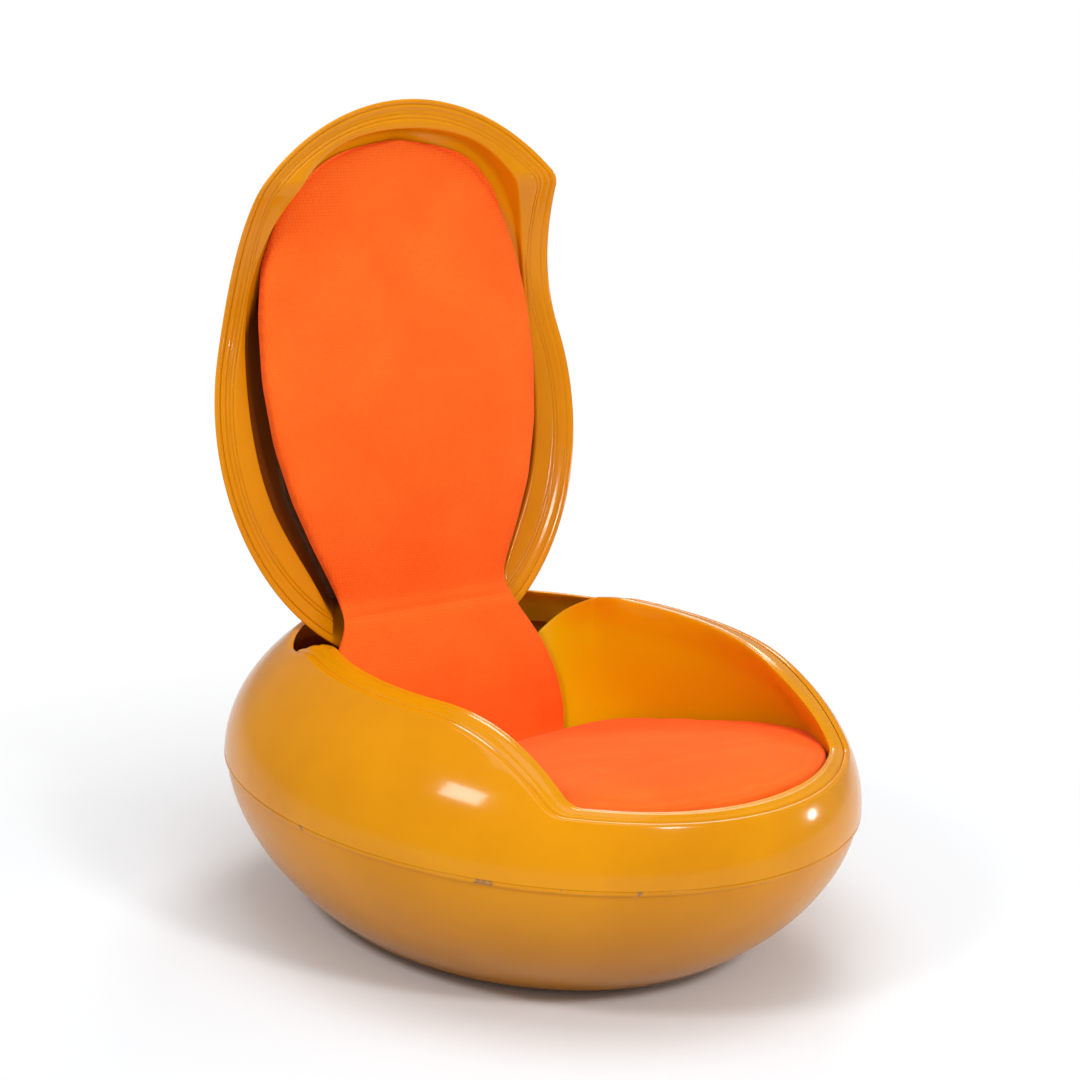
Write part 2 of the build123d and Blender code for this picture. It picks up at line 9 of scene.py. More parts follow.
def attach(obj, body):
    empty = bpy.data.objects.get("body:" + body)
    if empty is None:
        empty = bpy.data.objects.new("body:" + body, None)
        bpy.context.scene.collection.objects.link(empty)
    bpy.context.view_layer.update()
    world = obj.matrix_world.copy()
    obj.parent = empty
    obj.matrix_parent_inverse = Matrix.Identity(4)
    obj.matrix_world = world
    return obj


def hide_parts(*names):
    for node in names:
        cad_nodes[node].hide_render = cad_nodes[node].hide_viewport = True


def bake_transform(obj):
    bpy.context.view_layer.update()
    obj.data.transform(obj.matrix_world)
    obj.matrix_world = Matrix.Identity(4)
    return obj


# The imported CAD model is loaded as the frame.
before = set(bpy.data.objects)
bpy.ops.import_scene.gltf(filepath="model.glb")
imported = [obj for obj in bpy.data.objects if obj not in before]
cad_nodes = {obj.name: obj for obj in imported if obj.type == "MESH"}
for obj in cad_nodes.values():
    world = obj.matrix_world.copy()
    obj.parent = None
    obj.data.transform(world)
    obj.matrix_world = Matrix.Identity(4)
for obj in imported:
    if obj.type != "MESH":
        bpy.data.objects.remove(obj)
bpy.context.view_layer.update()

# ---- camera ------------------------------------------------------------------------
# A long lens from the front left, slightly above the seat, at the photograph's angle and roll;
# its shift puts the chair where it stands in the picture.
cam_data = bpy.data.cameras.new("camera")
cam = bpy.data.objects.new("camera", cam_data)
bpy.context.scene.collection.objects.link(cam)
bpy.context.scene.camera = cam
AZ, EL, DIST, ROLL = math.radians(-41.32), math.radians(15.35), 3.3728, math.radians(3.965)
FOCAL_PX, SHIFT_PX, FRAME_PX = 2739.2, (13.57, 28.88), 1080.0
LOOK_AT = Vector((0.0, 0.0, 0.45))
back = Vector((math.sin(AZ) * math.cos(EL), -math.cos(AZ) * math.cos(EL), math.sin(EL)))
right0 = Vector((math.cos(AZ), math.sin(AZ), 0.0))
up0 = back.cross(right0)
right = right0 * math.cos(ROLL) + up0 * math.sin(ROLL)
up = -right0 * math.sin(ROLL) + up0 * math.cos(ROLL)
turn = Matrix((right, up, back)).transposed()
cam.matrix_world = Matrix.Translation(LOOK_AT + back * DIST) @ turn.to_4x4()
cam_data.sensor_width = 36.0
cam_data.lens = FOCAL_PX / FRAME_PX * cam_data.sensor_width
cam_data.shift_x = -SHIFT_PX[0] / FRAME_PX
cam_data.shift_y = SHIFT_PX[1] / FRAME_PX
cam_data.clip_end = 100.0

# ---- light and floor ---------------------------------------------------------------
# A pale floor that fades to the white background round the chair, softboxes at the left, the
# front, the right and the rear, and a broad soft one above.
scene = bpy.context.scene
scene.view_settings.view_transform = "Standard"
world = bpy.data.worlds.new("studio")
scene.world = world
world.use_nodes = True
sky = world.node_tree.nodes
seen = sky.new("ShaderNodeLightPath")
level = sky.new("ShaderNodeMapRange")
level.inputs["To Min"].default_value = 0.36
level.inputs["To Max"].default_value = 1.0
world.node_tree.links.new(seen.outputs["Is Camera Ray"], level.inputs["Value"])
world.node_tree.links.new(level.outputs["Result"], sky["Background"].inputs["Strength"])
sky["Background"].inputs["Color"].default_value = (1.0, 1.0, 1.0, 1.0)


def softbox(name, place, target, width, height, watts):
    """Rectangular area light at place, turned so that it faces target."""
    data = bpy.data.lights.new(name, "AREA")
    data.shape = "RECTANGLE"
    data.size = width
    data.size_y = height
    data.energy = watts
    lamp = bpy.data.objects.new(name, data)
    lamp.location = place
    lamp.rotation_euler = (Vector(target) - Vector(place)).to_track_quat("-Z", "Y").to_euler()
    scene.collection.objects.link(lamp)


softbox("left", (-2.60, -0.34, 2.40), (0.0, 0.0, 0.3), 0.75, 0.50, 32.0)
softbox("front", (0.05, -2.80, 2.28), (0.0, 0.0, 0.3), 0.55, 0.45, 38.0)
softbox("right", (2.80, -1.55, 0.62), (0.0, 0.0, 0.3), 0.22, 0.22, 9.0)
softbox("rear", (1.75, 1.45, 1.90), (0.15, 0.20, 0.33), 0.9, 0.9, 20.0)
softbox("top", (-0.3, -0.3, 3.4), (0.0, 0.0, 0.3), 2.2, 2.2, 38.0)

floor_mesh = bpy.data.meshes.new("floor")
floor_mesh.from_pydata([(-9, -9, 0), (9, -9, 0), (9, 9, 0), (-9, 9, 0)], [], [(0, 1, 2, 3)])
floor = bpy.data.objects.new("floor", floor_mesh)
scene.collection.objects.link(floor)
FADE_FROM, FADE_TO = 0.40, 1.05
floor_mat = bpy.data.materials.new("floor")
floor_mat.use_nodes = True
floor_nodes = floor_mat.node_tree.nodes
floor_links = floor_mat.node_tree.links
floor_nodes["Principled BSDF"].inputs["Base Color"].default_value = (0.895, 0.93, 0.965, 1.0)
floor_nodes["Principled BSDF"].inputs["Roughness"].default_value = 0.9
path = floor_nodes.new("ShaderNodeLightPath")
white = floor_nodes.new("ShaderNodeEmission")
white.inputs["Color"].default_value = (1.0, 1.0, 1.0, 1.0)
mix = floor_nodes.new("ShaderNodeMixShader")
coords = floor_nodes.new("ShaderNodeTexCoord")
near = floor_nodes.new("ShaderNodeVectorMath")
near.operation = "LENGTH"
fade = floor_nodes.new("ShaderNodeMapRange")
fade.inputs["From Min"].default_value = FADE_FROM
fade.inputs["From Max"].default_value = FADE_TO
floor_links.new(coords.outputs["Object"], near.inputs[0])
floor_links.new(near.outputs["Value"], fade.inputs["Value"])
both = floor_nodes.new("ShaderNodeMath")
both.operation = "MULTIPLY"
floor_links.new(fade.outputs["Result"], both.inputs[0])
floor_links.new(path.outputs["Is Camera Ray"], both.inputs[1])
floor_links.new(both.outputs["Value"], mix.inputs["Fac"])
floor_links.new(floor_nodes["Principled BSDF"].outputs["BSDF"], mix.inputs[1])
floor_links.new(white.outputs["Emission"], mix.inputs[2])
floor_links.new(mix.outputs["Shader"], floor_nodes["Material Output"].inputs["Surface"])
floor_mesh.materials.append(floor_mat)

# ---- upper base shell --------------------------------------------------------------
# Upper half of the body, moulded plastic in glossy ochre lacquer, with a brighter ochre painted on its inner
# side as painted light in the shaded pocket.
# It runs from the seam to the S-shaped rim, where its edge is rounded over, and its inner face
# shows in the pocket behind the seat.
HALF_W, HALF_D, SEAM, TOP = 0.380, 0.423, 0.1925, 0.433
DOME_POWER = 1.94
CHIP_LINE = 0.1895


def lacquer(name, light, dark, rough, peel, foot=0.0, wear=0.0, inside=(0.8, 0.4, 0.003)):
    """Lacquer: noise mixes the dark and the light colour, and the "inside" attribute mixes in the
    inner faces' colour, which on the upper shell's pocket face is painted light and in the lid's
    tray painted shade. Height fades in a darker brown towards the foot. Where a finer noise is high
    the paint is rubbed by wear, and close to the seam it is chipped; the finest is orange peel."""
    mat = bpy.data.materials.new(name)
    mat.use_nodes = True
    nodes, links = mat.node_tree.nodes, mat.node_tree.links
    shader = nodes["Principled BSDF"]
    shader.inputs["Specular IOR Level"].default_value = 0.13
    shader.inputs["Coat Weight"].default_value = 0.16
    shader.inputs["Coat Roughness"].default_value = 0.06
    tc = nodes.new("ShaderNodeTexCoord")
    cloud = nodes.new("ShaderNodeTexNoise")
    cloud.inputs["Scale"].default_value = 5.0
    cloud.inputs["Detail"].default_value = 4.0
    links.new(tc.outputs["Object"], cloud.inputs["Vector"])
    ramp = nodes.new("ShaderNodeValToRGB")
    ramp.color_ramp.elements[0].position = 0.35
    ramp.color_ramp.elements[0].color = (*dark, 1.0)
    ramp.color_ramp.elements[1].position = 0.65
    ramp.color_ramp.elements[1].color = (*light, 1.0)
    links.new(cloud.outputs["Fac"], ramp.inputs["Fac"])
    inner = nodes.new("ShaderNodeAttribute")
    inner.attribute_name = "inside"
    # inner faces' colour: painted light on the upper shell's pocket face, painted shade in the lid's tray
    inner_tone_mix = nodes.new("ShaderNodeMix")
    inner_tone_mix.data_type = "RGBA"
    inner_tone_mix.inputs["B"].default_value = (*inside, 1.0)
    links.new(inner.outputs["Fac"], inner_tone_mix.inputs["Factor"])
    links.new(ramp.outputs["Color"], inner_tone_mix.inputs["A"])
    colour = inner_tone_mix.outputs["Result"]
    # browner and darker towards the floor
    sep = nodes.new("ShaderNodeSeparateXYZ")
    links.new(tc.outputs["Object"], sep.inputs["Vector"])
    low = nodes.new("ShaderNodeMapRange")
    low.inputs["From Min"].default_value = 0.0
    low.inputs["From Max"].default_value = 0.19
    low.inputs["To Min"].default_value = foot
    low.inputs["To Max"].default_value = 0.0
    links.new(sep.outputs["Z"], low.inputs["Value"])
    bottom_darkening = nodes.new("ShaderNodeMix")
    bottom_darkening.data_type = "RGBA"
    bottom_darkening.inputs["B"].default_value = (0.30, 0.115, 0.008, 1.0)
    links.new(low.outputs["Result"], bottom_darkening.inputs["Factor"])
    links.new(colour, bottom_darkening.inputs["A"])
    # small rubbed and chipped spots
    spots = nodes.new("ShaderNodeTexNoise")
    spots.inputs["Scale"].default_value = 38.0
    spots.inputs["Detail"].default_value = 6.0
    spots.inputs["Roughness"].default_value = 0.7
    links.new(tc.outputs["Object"], spots.inputs["Vector"])
    cut = nodes.new("ShaderNodeMapRange")
    cut.inputs["From Min"].default_value = 0.70
    cut.inputs["From Max"].default_value = 0.76
    cut.inputs["To Max"].default_value = wear
    links.new(spots.outputs["Fac"], cut.inputs["Value"])
    chip = nodes.new("ShaderNodeMix")
    chip.data_type = "RGBA"
    chip.inputs["B"].default_value = (0.34, 0.17, 0.06, 1.0)
    # chips where the two shells meet
    off = nodes.new("ShaderNodeMath")
    off.operation = "SUBTRACT"
    off.inputs[1].default_value = CHIP_LINE
    links.new(sep.outputs["Z"], off.inputs[0])
    far = nodes.new("ShaderNodeMath")
    far.operation = "ABSOLUTE"
    links.new(off.outputs["Value"], far.inputs[0])
    edge_zone = nodes.new("ShaderNodeMapRange")
    edge_zone.inputs["From Min"].default_value = 0.0020
    edge_zone.inputs["From Max"].default_value = 0.0048
    edge_zone.inputs["To Min"].default_value = 1.0
    edge_zone.inputs["To Max"].default_value = 0.0
    links.new(far.outputs["Value"], edge_zone.inputs["Value"])
    nicks = nodes.new("ShaderNodeTexNoise")
    nicks.inputs["Scale"].default_value = 21.0
    nicks.inputs["Detail"].default_value = 5.0
    nicks.inputs["Roughness"].default_value = 0.65
    links.new(tc.outputs["Object"], nicks.inputs["Vector"])
    picked = nodes.new("ShaderNodeMapRange")
    picked.inputs["From Min"].default_value = 0.60
    picked.inputs["From Max"].default_value = 0.64
    links.new(nicks.outputs["Fac"], picked.inputs["Value"])
    chipped = nodes.new("ShaderNodeMath")
    chipped.operation = "MULTIPLY"
    links.new(edge_zone.outputs["Result"], chipped.inputs[0])
    links.new(picked.outputs["Result"], chipped.inputs[1])
    worn = nodes.new("ShaderNodeMath")
    worn.operation = "MAXIMUM"
    links.new(chipped.outputs["Value"], worn.inputs[0])
    links.new(cut.outputs["Result"], worn.inputs[1])
    links.new(worn.outputs["Value"], chip.inputs["Factor"])
    links.new(bottom_darkening.outputs["Result"], chip.inputs["A"])
    links.new(chip.outputs["Result"], shader.inputs["Base Color"])
    gloss = nodes.new("ShaderNodeMapRange")
    gloss.inputs["To Min"].default_value = rough * 0.75
    gloss.inputs["To Max"].default_value = rough * 1.35
    links.new(cloud.outputs["Fac"], gloss.inputs["Value"])
    links.new(gloss.outputs["Result"], shader.inputs["Roughness"])
    grain = nodes.new("ShaderNodeTexNoise")
    grain.inputs["Scale"].default_value = 90.0
    grain.inputs["Detail"].default_value = 2.0
    links.new(tc.outputs["Object"], grain.inputs["Vector"])
    bump = nodes.new("ShaderNodeBump")
    bump.inputs["Strength"].default_value = peel
    bump.inputs["Distance"].default_value = 0.001
    links.new(grain.outputs["Fac"], bump.inputs["Height"])
    links.new(bump.outputs["Normal"], shader.inputs["Normal"])
    return mat


def dome_scale(z, inset=0.0):
    """Share of the seam ellipse that the dome, drawn in by inset, keeps at height z: one minus
    the height's share to the dome's power, and the root of that power."""
    k = np.clip((z - SEAM) / (TOP - inset - SEAM), 0.0, 1.0)
    return (1.0 - k ** DOME_POWER) ** (1.0 / DOME_POWER)


RIM_TOP, RIM_ARC, RIM_ARC_Y = 0.345, 0.312, -0.0956
LIP_MEET_Y, LIP_MEET_Z, LIP_SLOPE = -0.2960, 0.2721, 0.06
RIM_BLEND = 0.026 * 0.28
DIP, DIP_FROM, DIP_RUN = 0.013, 0.125, 0.080


def rim_height(y, dipped=True):
    """Side view of the rim: the higher of the front lip's rising line and the arm's circle, with
    a short blend where they meet, level behind the circle's top; on the base, less a dip that
    eases in to the rear."""
    ahead = np.minimum(y, RIM_ARC_Y) - RIM_ARC_Y
    arc = RIM_TOP - RIM_ARC + np.sqrt(np.clip(RIM_ARC ** 2 - ahead ** 2, 0.0, None))
    arc = np.where(y < RIM_ARC_Y - RIM_ARC * 0.95, -1.0, arc)
    line = LIP_MEET_Z + LIP_SLOPE * (y - LIP_MEET_Y)
    soft = 0.5 * (arc + line + np.sqrt((arc - line) ** 2 + RIM_BLEND ** 2))
    z = soft - RIM_BLEND ** 2 / (4.0 * np.maximum(np.abs(arc - line), RIM_BLEND))
    if dipped:
        t = np.clip((y - DIP_FROM) / DIP_RUN, 0.0, 1.0)
        z = z - DIP * (3 * t * t - 2 * t ** 3)
    return z


def rim_ring(phi, inset, lift, dipped=True):
    """Points where the dome drawn in by inset first meets the rim line raised by lift: of 601
    heights, the first past the line, moved back in a straight step to where it crosses."""
    z = np.linspace(SEAM, TOP - inset, 601)[:, None]
    q = dome_scale(z, inset)
    over = z - rim_height((HALF_D - inset) * q * np.sin(phi)[None, :], dipped) - lift
    k = np.maximum(np.argmax(over >= 0.0, axis=0), 1)
    c = np.arange(len(phi))
    a, b = over[k - 1, c], over[k, c]
    zr = z[k - 1, 0] + (z[k, 0] - z[k - 1, 0]) * (-a / (b - a))
    q = dome_scale(zr, inset)
    return np.stack([(HALF_W - inset) * q * np.cos(phi), (HALF_D - inset) * q * np.sin(phi), zr], axis=1)


def dome_row(z):
    """Row of the outer dome at heights z: the seam ellipse times the dome's share."""
    q = dome_scale(z)
    return np.stack([HALF_W * q * np.cos(phi), HALF_D * q * np.sin(phi), z], axis=1)


def grid_mesh(name, grids, mat, inside=None):
    """One smooth object from point grids (rows, columns, 3), each given as (points, closed): four
    neighbours make a face, and points in one place are joined. A face looks to its columns'
    direction crossed with its rows'. inside gives each point its share of the inner colour."""
    verts, faces, base = [], [], 0
    for pts, closed in grids:
        r, c = pts.shape[:2]
        verts.append(pts.reshape(-1, 3))
        i = np.arange(r - 1)[:, None] * c
        j = np.arange(c if closed else c - 1)[None, :]
        k = (j + 1) % c
        quad = np.stack([i + j, i + k, i + c + k, i + c + j], axis=-1).reshape(-1, 4)
        faces.append(quad + base)
        base += r * c
    v, f = np.concatenate(verts), np.concatenate(faces)
    mesh = bpy.data.meshes.new(name)
    mesh.from_pydata(v.tolist(), [], f.tolist())
    weld = bmesh.new()
    weld.from_mesh(mesh)
    bmesh.ops.remove_doubles(weld, verts=weld.verts, dist=1e-6)
    weld.to_mesh(mesh)
    weld.free()
    mesh.validate()
    if inside is not None:
        flat = np.zeros(len(mesh.vertices) * 3)
        mesh.vertices.foreach_get("co", flat)
        share = np.clip(inside(flat.reshape(-1, 3)), 0.0, 1.0)
        mesh.attributes.new("inside", "FLOAT", "POINT").data.foreach_set("value", share.astype(np.float32))
    mesh.polygons.foreach_set("use_smooth", [True] * len(mesh.polygons))
    mesh.materials.append(mat)
    mesh.update()
    obj = bpy.data.objects.new(name, mesh)
    scene.collection.objects.link(obj)
    return obj


# the inner colour is a brighter ochre, painted light on the shell's inner face in the shaded pocket
body_mat = lacquer("body_lacquer", (0.775, 0.300, 0.001), (0.675, 0.246, 0.001), 0.15, 0.05, wear=0.25,
                   inside=(0.97, 0.47, 0.012))
phi = np.linspace(0.0, 2 * np.pi, 1081)[:-1]
rim_low = rim_ring(phi, 0.0, -0.0062)
rows = [dome_row(SEAM + (rim_low[:, 2] - SEAM) * t) for t in np.linspace(0.0, 1.0, 30)]
for inset, lift in ((0.0001, -0.0053), (0.0008, -0.0045), (0.0018, -0.0040), (0.0042, -0.0040),
                    (0.0054, -0.0045), (0.0060, -0.0056), (0.0060, -0.0120), (0.0060, -0.0300),
                    (0.0060, -0.0600)):
    rows.append(rim_ring(phi, inset, lift))


def shell_painted_light(p):
    """Share of the inner colour, a brighter ochre that is painted light in the shaded pocket: none on
    the outer skin; on the inner face it grows over 12 mm, from 10 mm under the rim."""
    inner = np.hypot(p[:, 0] / HALF_W, p[:, 1] / HALF_D) < dome_scale(p[:, 2]) - 0.008
    return np.where(inner, (rim_height(p[:, 1]) - 0.010 - p[:, 2]) / 0.012, 0.0)


shell = grid_mesh("upper_shell", [(np.stack(rows), True)], body_mat, shell_painted_light)
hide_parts("base_upper_shell")
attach(shell, "base")

# ---- lower base shell --------------------------------------------------------------
# Bowl of the same lacquered plastic, duller and darker brown towards its flat foot. A rounded lip
# stands a little out at the seam, where the upper shell sits on it.
low_mat = lacquer("bowl_lacquer", (0.73, 0.275, 0.001), (0.63, 0.225, 0.001), 0.23, 0.08,
                  foot=0.70, wear=0.55)
BOWL_W, BOWL_D = 0.377, 0.420
BOWL_POWER, BOWL_SINK = 1.79, 0.072
FOOT_ROUND, FOOT_DRAW = 0.011, 0.022
# half width, half depth and height of each ring, from the middle of the foot to the lip
rows = [(0.0, 0.0, 0.0), (0.10, 0.12, 0.0)]
for z in np.concatenate([np.linspace(0.0, 0.02, 8), np.linspace(0.028, 0.183, 34)]):
    q = (1.0 - ((SEAM - z) / (SEAM + BOWL_SINK)) ** BOWL_POWER) ** (1.0 / BOWL_POWER)
    q = q - FOOT_DRAW * max(0.0, 1.0 - z / FOOT_ROUND) ** 2
    rows.append((BOWL_W * q, BOWL_D * q, z))
rows += [(0.3765, 0.4195, 0.1852), (0.3772, 0.4202, 0.1862), (0.3789, 0.4219, 0.1866),
         (0.3798, 0.4228, 0.1872), (0.3802, 0.4232, 0.1882), (0.3802, 0.4232, 0.1912),
         (0.3797, 0.4227, 0.1922), (0.3780, 0.4210, 0.1925)]
a, b, z = np.array(rows).T[:, :, None]
grid = np.stack(np.broadcast_arrays(a * np.cos(phi), b * np.sin(phi), z), axis=-1)
bowl = grid_mesh("lower_shell", [(grid, True)], low_mat)
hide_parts("base_bottom_shell")
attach(bowl, "base")

# ---- seat tub ----------------------------------------------------------------------
# Inner tub of lacquered plastic, moulded in one piece: a stepped bead along the rim of the front
# and arms, side walls that roll over to it, a rear wall whose top edge slants up behind the
# back, and the floor of the pocket that the lid's heel swings into.
tub_mat = lacquer("tub_lacquer", (0.775, 0.310, 0.001), (0.68, 0.255, 0.001), 0.17, 0.05, wear=0.2,
                  inside=(0.72, 0.440, 0.001))
# right half of the cavity's outline in mm, from front to rear, at five heights in metres
LEVELS = {
    0.060: [(0, -352), (115, -336), (188, -292), (238, -212), (246, -60),
            (226, 78), (200, 128), (150, 150), (0, 150)],
    0.160: [(0, -366), (128, -346), (205, -300), (272, -200), (279, -60),
            (252, 90), (224, 150), (166, 192), (0, 192)],
    0.262: [(0, -371), (132, -350), (210, -300), (276, -200), (273, -60),
            (250, 95), (222, 168), (166, 232), (0, 232)],
    0.330: [(0, -345), (130, -322), (196, -270), (256, -160), (268, -30),
            (252, 105), (224, 185), (160, 257), (0, 257)],
    0.380: [(0, -310), (125, -285), (186, -235), (240, -130), (262, -10),
            (250, 110), (222, 200), (150, 275), (0, 275)],
}
CENTRE_Y = -0.060
CORNER, CORNER_AT, CORNER_SPREAD = 0.0045, math.radians(37.5), math.radians(5.5)
WALL_FOOT, POCKET_FLOOR = 0.135, 0.245
BEAD_ROWS = 14


def soften(values, half, width, ends):
    """Weighted mean of each value with half neighbours on both sides; the weights fall off as a
    bell of the given width. ends says how the row goes on past its ends, as numpy's pad does."""
    kernel = np.exp(-0.5 * (np.arange(-half, half + 1) / width) ** 2)
    odd = {"reflect_type": "odd"} if ends == "reflect" else {}
    return np.convolve(np.pad(values, half, mode=ends, **odd), kernel / kernel.sum(), mode="valid")


def polar(direction, r, z):
    """Row of points at distance r from the cavity's centre line in each direction, at height z."""
    x, y, z = np.broadcast_arrays(r * np.cos(direction), CENTRE_Y + r * np.sin(direction), z)
    return np.stack([x, y, z], axis=1)


def seat_radius(theta, z, grow=0.0):
    """Distance of the seat cavity's wall from its centre line in direction theta at height z:
    each level's outline is smoothed round its corners, the levels are joined by the polynomial
    through them, and a bell makes each rear corner a little tighter."""
    fine = np.linspace(-np.pi, np.pi, 721)[:-1]
    curves, heights = [], []
    for h, half_outline in LEVELS.items():
        xy = np.array(half_outline) / 1000.0
        xy = np.concatenate([xy, (xy[1:-1] * (-1, 1))[::-1]])
        # densify the outline, then read its radius by direction
        loop = np.concatenate([xy, xy[:1]])
        t = np.linspace(0, len(xy), 1600)
        px = np.interp(t, np.arange(len(loop)), loop[:, 0])
        py = np.interp(t, np.arange(len(loop)), loop[:, 1]) - CENTRE_Y
        a = np.arctan2(py, px)
        order = np.argsort(a)
        r = np.interp(fine, a[order], np.hypot(px, py)[order], period=2 * np.pi)
        for _ in range(3):
            r = soften(r, 18, 7.0, "wrap")
        curves.append(r)
        heights.append(h)
    out = np.zeros(np.broadcast(theta, z).shape)
    for i, hi in enumerate(heights):
        w = np.ones_like(out)
        for j, hj in enumerate(heights):
            if j != i:
                w = w * (z - hj) / (hi - hj)
        out = out + w * np.interp(theta, fine, curves[i], period=2 * np.pi)
    from_rear = np.abs(np.angle(np.exp(1j * (theta - np.pi / 2))))
    return out + CORNER * np.exp(-((from_rear - CORNER_AT) / CORNER_SPREAD) ** 2) + grow


# stepped bead, from its outer side over the top to the cavity
arc = np.linspace(math.radians(-213.5), math.radians(33.5), 820)
arc = arc[rim_ring(arc, 0.0165, 0.0006)[:, 1] < 0.190]
rows = []
for inset, lift in ((0.0062, -0.0140), (0.0062, -0.0034), (0.0066, -0.0026), (0.0074, -0.0022),
                    (0.0088, -0.0020), (0.0096, -0.0016), (0.0102, -0.0006), (0.0108, 0.0004),
                    (0.0118, 0.0010), (0.0136, 0.0010), (0.0146, 0.0006), (0.0154, 0.0006),
                    (0.0165, 0.0014)):
    rows.append(rim_ring(arc, inset, lift))
crest = rows[-1]
theta = np.arctan2(crest[:, 1] - CENTRE_Y, crest[:, 0])
radius = np.hypot(crest[:, 0], crest[:, 1] - CENTRE_Y)
# the wall rolls over to the rim: a broad roll along the arms, a tighter one at the front lip
front_share = np.clip((-0.18 - crest[:, 1]) / 0.12, 0.0, 1.0)
front_share = front_share ** 2 * (3 - 2 * front_share)
rear_share = np.clip((crest[:, 1] - 0.10) / 0.08, 0.0, 1.0)
arms = (1.0 - front_share) * (1.0 - rear_share)
roll = 0.032 * arms + 0.013 * front_share + 0.004 * rear_share
lean = np.clip(seat_radius(theta, crest[:, 2]) - radius + 0.009 * arms, 0.0, 0.030)
lean = soften(lean, 24, 9.0, "edge")


def wall_radius(direction, z, lean_by, rim_z, grow=0.0):
    """Cavity wall: the seat's radius, less a lean that eases in over the 150 mm below the rim."""
    near = np.clip((z - (rim_z - 0.150)) / 0.150, 0.0, 1.0)
    return seat_radius(direction, z, grow) - lean_by * near ** 2 * (3 - 2 * near)


gap = radius - wall_radius(theta, crest[:, 2], lean, crest[:, 2])
for a in np.radians(np.linspace(5.0, 90.0, 26)):
    z = crest[:, 2] - roll * (1.0 - math.cos(a))
    rows.append(polar(theta, wall_radius(theta, z, lean, crest[:, 2]) + gap * (1.0 - math.sin(a)), z))
end = rows[-1][:, 2]
for t in np.linspace(0.03, 1.0, 36):
    z = end + (WALL_FOOT - end) * t
    rows.append(polar(theta, wall_radius(theta, z, lean, crest[:, 2]), z))
sides = np.stack(rows)
# cross walls that close the arms towards the pocket, straight down from the bead's two ends
cross = []
for top_line in (sides[:BEAD_ROWS, 0], sides[:BEAD_ROWS, -1][::-1]):
    drop = np.repeat(top_line[None], 20, axis=0)
    drop[:, :, 2] += (POCKET_FLOOR - top_line[None, :, 2]) * np.linspace(0.0, 1.0, 20)[:, None]
    cross.append((drop, False))
# rear wall, a thin sheet with a rounded edge: low behind the back, slanting up into the rim
SHEET_EDGE = 0.00275
t0, t1 = theta[-1], theta[0] % (2 * np.pi)
rear = np.linspace(t0, t1, 420)
from_end = np.minimum(rear - t0, t1 - rear)
lean_in = lean[-1] * np.exp(-(from_end / math.radians(9.0)) ** 2)
across = np.abs(seat_radius(rear, np.full_like(rear, 0.30)) * np.cos(rear))
top = np.interp(across, (0.158, 0.168, 0.186, 0.226), (0.244, 0.270, 0.291, 0.341))
top = np.minimum(soften(top, 9, 4.0, "edge"), crest[-1, 2] - 0.0006)


def rear_row(z, grow):
    """Row of the rear wall at heights z, on the cavity wall moved out by grow."""
    return polar(rear, wall_radius(rear, z, lean_in, crest[-1, 2], grow), z)


falls = [top - SHEET_EDGE + (WALL_FOOT - top) * t for t in np.linspace(0.0, 1.0, 22)]
rows = [rear_row(z, 2 * SHEET_EDGE) for z in falls[::-1]]
for a in np.radians(np.linspace(0, 180, 9)):
    rows.append(rear_row(top - SHEET_EDGE + SHEET_EDGE * math.sin(a), SHEET_EDGE + SHEET_EDGE * math.cos(a)))
rows += [rear_row(z, 0.0) for z in falls]
rear_wall = np.stack(rows)
# floor of the pocket behind the seat, from the shell in to the rear wall
fan = np.linspace(0.02, 0.98, 200) * np.pi
wall_foot = polar(fan, seat_radius(fan, np.full_like(fan, POCKET_FLOOR), 2 * SHEET_EDGE), POCKET_FLOOR)
q = dome_scale(POCKET_FLOOR, 0.006)
shell_foot = np.stack([0.374 * q * np.cos(fan), 0.417 * q * np.sin(fan), wall_foot[:, 2]], axis=1)
pocket = np.stack([shell_foot + (wall_foot - shell_foot) * t for t in np.linspace(0.0, 1.0, 6)])
# the inner colour grows over 45 mm, from 4 mm under the rim
tub = grid_mesh("seat_tub_moulding", [(sides, False), (rear_wall, False), (pocket, False)] + cross,
                tub_mat, lambda p: (rim_height(p[:, 1]) - 0.004 - p[:, 2]) / 0.045)
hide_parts("seat_tub")
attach(tub, "base")

# ---- seat cushion ------------------------------------------------------------------
# One crowned foam cushion in a bright orange woven cover, which fills the tub from the crease to
# the front lip. Its top falls to the rear, and its edge rolls down into the tub all round.
CUSHION_GAP, CUSHION_EDGE, CUSHION_DOWN = -0.0040, 0.011, 0.0045
CUSHION_BACK, CORNER_SOFT = 0.172, 0.012


